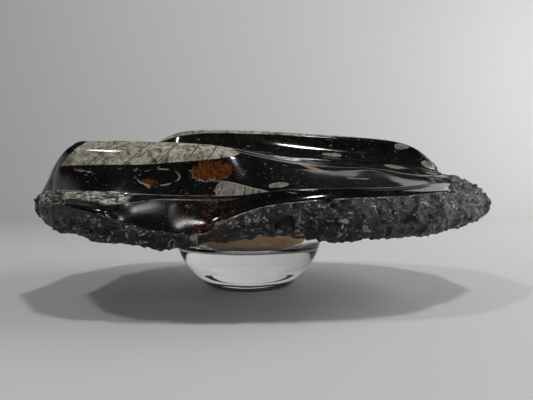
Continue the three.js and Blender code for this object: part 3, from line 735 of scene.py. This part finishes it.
BLACK_DEEP = (0.0012, 0.0012, 0.0013)
BLACK_WORN = (0.0032, 0.0032, 0.0031)
CALCITE = [(0.0, (0.015, 0.013, 0.010)), (0.38, (0.075, 0.066, 0.046)), (0.46, (0.29, 0.27, 0.20)),
           (0.56, (0.52, 0.50, 0.41)), (0.68, (0.72, 0.70, 0.62)), (1.0, (0.86, 0.85, 0.79))]
GREYS = [(0.0, (0.03, 0.028, 0.022)), (0.42, (0.16, 0.15, 0.12)), (0.6, (0.31, 0.30, 0.255)),
         (1.0, (0.50, 0.49, 0.44))]
TANS = [(0.0, (0.13, 0.075, 0.045)), (0.5, (0.27, 0.19, 0.13)), (1.0, (0.45, 0.37, 0.29))]
RUSTS = [(0.0, (0.008, 0.003, 0.001)), (0.42, (0.035, 0.010, 0.002)), (0.56, (0.12, 0.034, 0.004)),
         (0.75, (0.21, 0.066, 0.008)), (1.0, (0.36, 0.16, 0.035))]
DARKS = [(0.0, (0.001, 0.001, 0.001)), (0.6, (0.004, 0.004, 0.003)), (1.0, (0.02, 0.018, 0.015))]
BROKEN = [(0.0, (0.001, 0.001, 0.001)), (0.47, (0.002, 0.002, 0.002)), (0.60, (0.012, 0.011, 0.010)),
          (0.72, (0.055, 0.051, 0.044)), (1.0, (0.22, 0.21, 0.18))]
OCHRES = [(0.0, (0.25, 0.09, 0.0)), (0.5, (0.80, 0.38, 0.0)), (1.0, (1.0, 0.58, 0.0))]
TINTS = dict(dark=DARKS, grey=GREYS, pale=CALCITE, tan=TANS, rust=RUSTS)
DUST = (0.075, 0.075, 0.060)
SPECK = (0.11, 0.105, 0.085)
BITS = [(0.35, (0.05, 0.045, 0.035)), (0.65, (0.26, 0.245, 0.20))]
ARC = (0.22, 0.21, 0.175)
VEIN = (0.045, 0.038, 0.027)
HONEY = (0.42, 0.28, 0.12)
SHELL_WALL = (0.014, 0.012, 0.010)
OUTLINE = (0.42, 0.40, 0.35)
# Painted highlight: the pale colour laid along the polished edges.
PAINTED_EDGE_HIGHLIGHT = (0.52, 0.50, 0.44)
CHIP = (0.66, 0.64, 0.57)
BROKEN_ARC = (0.60, 0.58, 0.51)
FLAKE = (0.80, 0.76, 0.67)
OUTLINED = ("grey", "rust", "dark")  # tints whose fossils have a pale outline
# Shell bits in the broken stone: size in millimetres, stretch along x, y and z, the share of cells
# without one, strength, and an offset that keeps each kind apart from the others.
SLIVERS = [(1.1, (0.5, 1.0, 1.3), 0.76, 0.60, 0.0), (1.7, (1.4, 1.0, 0.5), 0.82, 0.9, 13.0),
           (2.3, (0.45, 1.0, 1.6), 0.84, 1.0, 29.0), (4.0, (0.7, 1.0, 1.1), 0.87, 0.9, 47.0)]
# The stained zone in the hollow under ridge A: (from, to) where it fades in, in millimetres.
STAIN_LEFT = (-32.0, -20.0)
STAIN_RIGHT = (-10.0, 2.0)
STAIN_TOP = (60.0, 57.0)
STAIN_FRONT = (-70.0, -78.0)

# The ochre ring on the hump: (from, to) of its outer and inner fade, its upper limit and its back limit.
OCHRE_OUTER = (43.0, 41.0)
OCHRE_INNER = (32.0, 29.0)
OCHRE_TOP = (41.5, 40.0)
OCHRE_BACK = (6.0, -4.0)

GLOSS = 0.07  # roughness of the best polish
DULLING = 0.08  # roughness that dull patches add
SATIN = 0.12  # roughness that the satin stretch adds
STONE_IOR = 1.5


class Stone(Graph):
    """The stone's material: the fields that its parts share, and a method for each part."""

    def __init__(self, name):
        super().__init__(new_material(name))
        self.point = self.scaled(self.node("ShaderNodeTexCoord", "Object", {}), 1.0 / MM)
        self.x, self.y, self.z = self.axes(self.point)
        self.rough = self.rise(self.mark("rough"), 0.35, 0.65)
        self.debris = self.rise(self.mark("debris"), 0.3, 0.7)
        drift = self.noise(self.point, 5.0, 2.0, output="Color")
        centred = self.vector("SUBTRACT", drift, (0.5, 0.5, 0.5))
        self.warped = self.vector("ADD", self.point, self.scaled(centred, 4.0))
        self.cloud = self.noise(self.point, 9.0, 4.0, 0.6)
        self.dust = self.noise(self.point, 0.55, 3.0, 0.8)
        self.patchy = self.shifted_noise((31.0, 7.0, 19.0), 5.0, 2.0)
        self.swirl = self.noise(self.point, 2.0, 5.0, 0.65, 1.6)

    def shifted_noise(self, shift, *settings):
        """Noise that is unrelated to the one at the point itself."""
        return self.noise(self.vector("ADD", self.point, shift), *settings)

    def cell_share(self, point, size, channel):
        """A random value from 0 to 1 for the cell that point is in."""
        pick = tuple(1.0 if channel == n else 0.0 for n in range(3))
        return self.vector("DOT_PRODUCT", self.cells(point, size, "Color"), pick, output="Value")

    def hairline(self, field, outer, inner):
        """1 on the thin curves where field crosses its middle."""
        return self.rise(self.math("ABSOLUTE", field - 0.5), outer, inner)

    def ground(self):
        """The polished black ground: fine specks, small shell bits and thin arcs."""
        cloud, dust, warped = self.cloud, self.dust, self.warped
        colour = self.blend(self.rise(cloud, 0.42, 0.72), BLACK_DEEP, BLACK_WORN)
        colour = self.blend(self.rise(dust, 0.57, 0.72) * self.rise(cloud, 0.36, 0.60), colour, DUST)
        speck = self.rise(self.cell_share(warped, 1.0, 0), 0.78, 0.98)
        speck = speck * self.rise(self.cells(warped, 1.0), 0.42, 0.12)
        colour = self.blend(speck * self.rise(cloud, 0.35, 0.6), colour, SPECK)
        bit_point = self.stretched(warped, (0.6, 1.0, 1.6))
        bit = self.rise(self.cell_share(bit_point, 2.4, 1), 0.89, 0.93)
        bit = bit * self.rise(self.cells(bit_point, 2.4), 0.34, 0.20)
        colour = self.blend(bit * 0.8, colour, self.colours(dust, BITS))
        arc = self.hairline(self.noise(self.point, 8.0, 1.0, 0.5, 0.9), 0.009, 0.002)
        return self.blend(arc * self.rise(self.patchy, 0.60, 0.64) * 0.6, colour, ARC)

    def fossils(self):
        """For each tint how much of the point is in a fossil of it, then the walls and the outlines."""
        ragged_noise = self.noise(self.point, 2.2, 3.0, 0.6)
        inside = {}
        walls = None
        outline = None
        for fossil in FOSSILS:
            body, lines, rim = shell(self, self.point, fossil, ragged_noise)
            tint = fossil["tint"]
            inside[tint] = body if tint not in inside else self.most(inside[tint], body)
            if lines is not None:
                walls = lines if walls is None else self.most(walls, lines)
            if tint in OUTLINED:
                outline = rim if outline is None else self.most(outline, rim)
        return inside, walls, outline

    def polished(self, inside, walls, outline):
        """The polished stone: the ground, the fossils in it, and a painted highlight line along its edges."""
        mottle = self.noise(self.warped, 3.4, 7.0, 0.72, 0.5)
        colour = self.ground()
        for tint, stops in TINTS.items():
            field = self.swirl if tint == "rust" else mottle
            colour = self.blend(inside[tint], colour, self.colours(field, stops))
        vein = self.hairline(self.noise(self.point, 5.0, 4.0, 0.55, 1.4), 0.020, 0.004)
        vein = vein * self.most(inside["pale"], inside["grey"]) * self.rise(self.patchy, 0.40, 0.55)
        colour = self.blend(vein * 0.8, colour, VEIN)
        stain = self.rise(self.shifted_noise((5.0, 50.0, 9.0), 7.0, 3.0), 0.60, 0.72)
        colour = self.blend(stain * inside["pale"] * 0.30, colour, HONEY)
        colour = self.blend(walls * 0.92, colour, SHELL_WALL)
        gaps = self.rise(self.noise(self.point, 6.0, 2.0), 0.40, 0.55)
        colour = self.blend(outline * gaps * 0.75, colour, OUTLINE)
        # Painted highlight: a pale line along the edges marked in the mesh, broken into gaps.
        gaps = self.rise(self.noise(self.point, 5.0, 2.0), 0.30, 0.50)
        return self.blend(self.mark("edge") * gaps * 0.9, colour, PAINTED_EDGE_HIGHLIGHT)

    def broken(self):
        """The broken stone: black and grey, with clusters of pale shell bits."""
        warped = self.warped
        colour = self.colours(self.noise(warped, 2.2, 7.0, 0.82), BROKEN)
        crowd = self.rise(self.shifted_noise((61.0, 5.0, 23.0), 9.0, 3.0, 0.6), 0.44, 0.60)
        for size, stretch, without, strength, offset in SLIVERS:
            place = self.stretched(self.vector("ADD", warped, (offset, 2.0 * offset, 0.0)), stretch)
            chip = self.rise(self.cell_share(place, size, 2), without, without + 0.06)
            chip = chip * self.rise(self.cells(place, size), 0.46, 0.28)
            colour = self.blend(chip * self.rise(self.dust, 0.34, 0.50) * crowd * strength, colour, CHIP)
        arc = self.hairline(self.shifted_noise((3.0, 71.0, 3.0), 4.0, 1.5, 0.5, 1.4), 0.022, 0.006)
        colour = self.blend(arc * self.rise(self.patchy, 0.52, 0.58) * 0.9, colour, BROKEN_ARC)
        flake = self.noise(self.stretched(warped, (0.45, 1.0, 1.7)), 1.9, 5.0, 0.7)
        flake = self.rise(flake, 0.46, 0.58) * self.rise(self.cloud, 0.36, 0.50)
        colour = self.blend(self.debris * flake, colour, FLAKE)
        shade = self.rise(self.shifted_noise((8.0, 90.0, 1.0), 11.0, 4.0, 0.65), 0.44, 0.60)
        return self.blend(shade * (1.0 - self.debris) * 0.7, colour, BLACK_WORN)

    def iron_stains(self):
        """How rusty the stone is: most in the hollow under ridge A, with faint specks elsewhere."""
        zone = self.rise(self.x, *STAIN_LEFT) - self.rise(self.x, *STAIN_RIGHT)
        zone = zone * self.rise(self.z, *STAIN_TOP) * self.rise(self.y, *STAIN_FRONT)
        streak = self.rise(self.shifted_noise((9.0, 2.0, 44.0), 3.4, 3.0, 0.6, 2.4), 0.52, 0.62)
        spots = self.rise(self.shifted_noise((77.0, 3.0, 5.0), 6.0, 4.0, 0.7), 0.63, 0.69)
        return self.most(zone * streak, spots * (self.rough * 0.7 + 0.15))

    def ochre_ring(self):
        """How much of the point is in the limonite stain round the front of the underside's hump."""
        x = self.x - HUMP_CENTRE_X
        reach = self.math("SQRT", x * x + self.y * self.y)
        reach = reach + (self.noise(self.point, 9.0, 3.0) - 0.5) * 6.0
        ring = self.rise(reach, *OCHRE_OUTER) - self.rise(reach, *OCHRE_INNER)
        return ring * self.rise(self.z, *OCHRE_TOP) * self.rise(self.y, *OCHRE_BACK)

    def roughness(self, ochre):
        """Hand polish with faint dulling, and a dull break with small glints."""
        dull = self.rise(self.noise(self.point, 14.0, 4.0, 0.6), 0.3, 0.8)
        polish = dull * DULLING + GLOSS + self.mark("satin") * SATIN
        dull_break = self.noise(self.point, 1.3, 2.0) * 0.5 + 0.20 + ochre * 0.4
        return self.node("ShaderNodeMix", 0, {0: self.rough, 2: polish, 3: dull_break})

    def relief(self, walls):
        """Relief too fine for the mesh, in millimetres."""
        crumbs = self.noise(self.point, 1.3, 5.0, 0.75) * 1.3 + self.cells(self.warped, 1.7) * 0.5
        waves = self.noise(self.point, 4.0, 2.0) * 0.010 + self.mark("satin") * self.dust * 0.05
        return crumbs * self.rough + walls * -0.05 + (1.0 - self.rough) * waves


def stone_material():
    stone = Stone("carved_limestone")
    inside, walls, outline = stone.fossils()
    ochre = stone.ochre_ring()
    colour = stone.blend(stone.rough, stone.polished(inside, walls, outline), stone.broken())
    colour = stone.blend(stone.iron_stains() * 0.8, colour, stone.colours(stone.swirl, RUSTS))
    ochre_colour = stone.colours(stone.noise(stone.warped, 5.0, 5.0, 0.6), OCHRES)
    stone.feed(stone.shader.inputs["Base Color"], stone.blend(ochre, colour, ochre_colour))
    stone.feed(stone.shader.inputs["Roughness"], stone.roughness(ochre))
    stone.feed(stone.shader.inputs["Normal"], stone.bump(stone.relief(walls), MM))
    stone.shader.inputs["IOR"].default_value = STONE_IOR
    return stone.owner


slab_mesh.materials.append(stone_material())

# ----------------------
# The glass dish: the CAD outline, turned finely, with a shallow recess under the foot.
# ----------------------

GLASS_FLOOR = 25.5  # height of the shallow hollow
HOLLOW_RADIUS = 45.0
HOLLOW_CORNER = 6.5
GLASS_WALL = 3.4  # glass thickness at the rim
RECESS = 0.5  # height of the recess under the foot
DISH_SEGMENTS = 160
# The foot as (radius, height), from the recess round the standing ring to the crease.
DISH_FOOT = [(22.0, RECESS), (23.5, RECESS * 0.8), (25.0, 0.1), (26.0, 0.0), (27.0, 0.15), (27.7, 0.6),
             (28.4, 1.2), (29.3, 2.1), (30.1, 3.1), (30.6, 4.2)]
# The side above it as [height, radius].
DISH_OUTSIDE = [[5, 31], [6.8, 33.7], [9, 36], [11.6, 38.2], [14, 40.2], [17, 42.2], [22, 44.9], [27, 46.7],
                [32, 48.1], [35.7, 49]]


def dish_outline():
    """Half of the dish's outline as (radius, height), from the axis under the foot round to the axis."""
    rim_round = GLASS_WALL / 2
    rim_centre = RIM_HEIGHT - rim_round
    rim_radius = DISH_OUTSIDE[-1][1]
    heights = np.linspace(DISH_OUTSIDE[0][0], DISH_OUTSIDE[-1][0], 40)
    outside = [(float(r), float(h)) for r, h in zip(along(DISH_OUTSIDE, heights), heights)]
    turn = np.linspace(0, math.pi, 14)[1:]
    rim = [(rim_radius - rim_round * (1 - math.cos(a)), rim_centre + rim_round * math.sin(a)) for a in turn]
    turn = np.linspace(0, math.pi / 2, 20)[1:]
    inside = [(HOLLOW_RADIUS - HOLLOW_CORNER * (1 - math.cos(a)),
               GLASS_FLOOR + HOLLOW_CORNER * (1 - math.sin(a))) for a in turn]
    return [*DISH_FOOT, *outside, *rim, *inside, (20.0, GLASS_FLOOR)]


def turned(name, outline, centre_low, centre_high, segments):
    """A closed mesh turned round Z, with a fan at each end of the outline."""
    angles = np.arange(segments) * 2 * math.pi / segments
    vertices = [(r * math.cos(a) * MM, r * math.sin(a) * MM, h * MM) for r, h in outline for a in angles]
    vertices += [(0, 0, centre_low * MM), (0, 0, centre_high * MM)]
    low, high = len(vertices) - 2, len(vertices) - 1
    faces = []
    for i in range(len(outline) - 1):
        for j in range(segments):
            k = (j + 1) % segments
            faces.append((i * segments + j, i * segments + k, (i + 1) * segments + k, (i + 1) * segments + j))
    top = (len(outline) - 1) * segments
    for j in range(segments):
        k = (j + 1) % segments
        faces.append((k, j, low))
        faces.append((top + j, top + k, high))
    mesh = bpy.data.meshes.new(name)
    mesh.from_pydata(vertices, [], faces)
    mesh.polygons.foreach_set("use_smooth", [True] * len(mesh.polygons))
    mesh.update()
    return mesh


dish_mesh = turned("dish", dish_outline(), RECESS, GLASS_FLOOR, DISH_SEGMENTS)
dish = bpy.data.objects.new("clear_dish", dish_mesh)
bpy.context.scene.collection.objects.link(dish)
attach(dish, "root")
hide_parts("glass_dish")


def glass_material():
    g = Graph(new_material("clear_glass"))
    point = g.node("ShaderNodeTexCoord", "Object", {})
    g.shader.inputs["Base Color"].default_value = (1.0, 1.0, 1.0, 1.0)
    g.shader.inputs["Transmission Weight"].default_value = 1.0
    g.shader.inputs["IOR"].default_value = 1.5
    smear = g.noise(point, 0.02, 3.0)
    g.feed(g.shader.inputs["Roughness"], g.rise(smear, 0.62, 0.8) * 0.05)
    ripple = g.noise(point, 0.016, 1.0) * 0.12
    g.feed(g.shader.inputs["Normal"], g.bump(ripple, MM))
    return g.owner


dish_mesh.materials.append(glass_material())

# ----------------------
# Floor, backdrop and light.
# ----------------------

FLOOR_DROP = 0.0002  # metres, as are the rest here
WALL_AT = 0.74
WALL_TOP = 0.56
HALF_WIDTH = 3.0
FLOOR_COLOUR = (0.72, 0.72, 0.71)
BACKDROP_COLOUR = (0.72, 0.72, 0.72)

ROOM_FRONT = (0.09, 0.09, 0.09)
ROOM_BACK = (0.05, 0.05, 0.052)
ROOM_LEFT = (0.68, 0.68, 0.685)
ROOM_RIGHT = (0.95, 0.95, 0.94)
ROOM_ABOVE = (0.05, 0.05, 0.05)

LAMPS = [
    dict(name="left lamp", place=(-0.60, -0.33, 1.15), target=(0, 0, 0.05), size=0.11, watts=2.6),
    dict(name="right lamp", place=(0.24, -0.33, 1.15), target=(0, 0, 0.05), size=0.11, watts=3.4),
    dict(name="side softbox", place=(1.05, 0.10, 0.50), target=(0, 0.05, 0.0), size=0.8, watts=7.0),
]


def stage_plane(name, corners, colour):
    mesh = bpy.data.meshes.new(name)
    mesh.from_pydata(corners, [], [(0, 1, 2, 3)])
    thing = bpy.data.objects.new(name, mesh)
    bpy.context.scene.collection.objects.link(thing)
    material = new_material(name)
    shader = material.node_tree.nodes["Principled BSDF"]
    shader.inputs["Base Color"].default_value = (*colour, 1)
    shader.inputs["Roughness"].default_value = 0.55
    shader.inputs["Specular IOR Level"].default_value = 0.25
    mesh.materials.append(material)


stage_plane("floor", [(-HALF_WIDTH, -HALF_WIDTH, -FLOOR_DROP), (HALF_WIDTH, -HALF_WIDTH, -FLOOR_DROP),
                      (HALF_WIDTH, WALL_AT, -FLOOR_DROP), (-HALF_WIDTH, WALL_AT, -FLOOR_DROP)],
            FLOOR_COLOUR)
stage_plane("backdrop", [(-HALF_WIDTH, WALL_AT, -FLOOR_DROP), (HALF_WIDTH, WALL_AT, -FLOOR_DROP),
                         (HALF_WIDTH, WALL_AT, WALL_TOP), (-HALF_WIDTH, WALL_AT, WALL_TOP)],
            BACKDROP_COLOUR)


def studio_world():
    """A room whose sides are light, the right one most, and which is dark above, behind and in front."""
    world = bpy.data.worlds.new("studio")
    world.use_nodes = True
    g = Graph(world)
    direction = g.node("ShaderNodeTexCoord", "Generated", {})
    x, y, z = g.axes(direction)
    room = g.blend(g.rise(x, -0.9, 0.9), ROOM_LEFT, ROOM_RIGHT)
    room = g.blend(g.rise(y, -0.45, -0.8), room, ROOM_FRONT)
    room = g.blend(g.rise(y, 0.2, 0.6), room, ROOM_BACK)
    room = g.blend(g.rise(z, 0.36, 0.62), room, ROOM_ABOVE)
    g.feed(g.tree.nodes["Background"].inputs["Color"], room)
    bpy.context.scene.world = world


def area_light(name, place, target, size, watts):
    data = bpy.data.lights.new(name, "AREA")
    data.energy = watts
    data.size = size
    lamp = bpy.data.objects.new(name, data)
    lamp.location = place
    lamp.rotation_euler = (Vector(target) - Vector(place)).to_track_quat("-Z", "Y").to_euler()
    bpy.context.scene.collection.objects.link(lamp)


studio_world()
for lamp in LAMPS:
    area_light(**lamp)
bpy.context.scene.view_settings.view_transform = "Standard"
